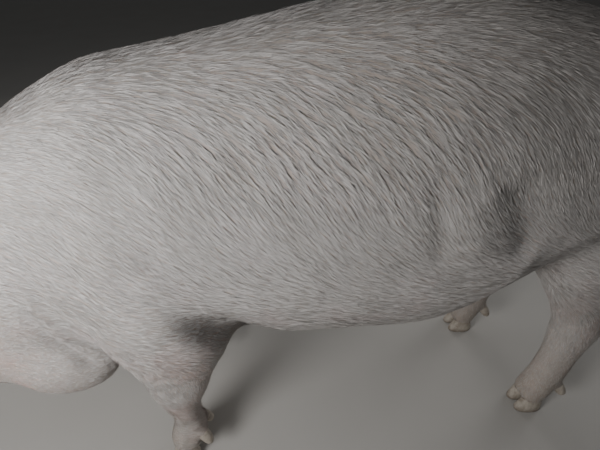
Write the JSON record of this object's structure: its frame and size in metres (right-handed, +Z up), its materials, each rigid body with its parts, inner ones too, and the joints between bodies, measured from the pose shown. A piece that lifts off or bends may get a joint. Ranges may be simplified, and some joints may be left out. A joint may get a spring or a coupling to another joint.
{
  "type": "boar pig",
  "caption": "Life-size standing white boar pig with lowered head, upright cupped ears, flat snout disc, curled tail and cloven feet, as a still museum-style model.",
  "frame": {"origin": "middle of the bounding box at floor level, between the four feet", "axes": "+X from the nose to the tail, +Y towards the boar's right side, +Z up"},
  "size_m": [1.8842, 0.5132, 0.9738],
  "materials": {
    "hide": "short white bristles over pale pink skin",
    "snout_skin": "bare, damp, finely wrinkled pink skin",
    "horn": "worn grey-brown horn",
    "eye": "wet"
  },
  "bodies": {
    "root": {"head": "hide", "neck": "hide", "torso": "hide", "tail": "hide", "scrotum": "hide", "ear_left": "hide", "ear_right": "hide", "foreleg_left": "hide", "foreleg_right": "hide", "hindleg_left": "hide", "hindleg_right": "hide", "snout": "snout_skin", "eye_left": "eye", "eye_right": "eye", "claw_fore_left_inner": "horn", "claw_fore_left_outer": "horn", "claw_fore_right_inner": "horn", "claw_fore_right_outer": "horn", "claw_hind_left_inner": "horn", "claw_hind_left_outer": "horn", "claw_hind_right_inner": "horn", "claw_hind_right_outer": "horn", "dewclaw_fore_left_inner": "horn", "dewclaw_fore_left_outer": "horn", "dewclaw_fore_right_inner": "horn", "dewclaw_fore_right_outer": "horn", "dewclaw_hind_left_inner": "horn", "dewclaw_hind_left_outer": "horn", "dewclaw_hind_right_inner": "horn", "dewclaw_hind_right_outer": "horn"}
  },
  "joints": []
}
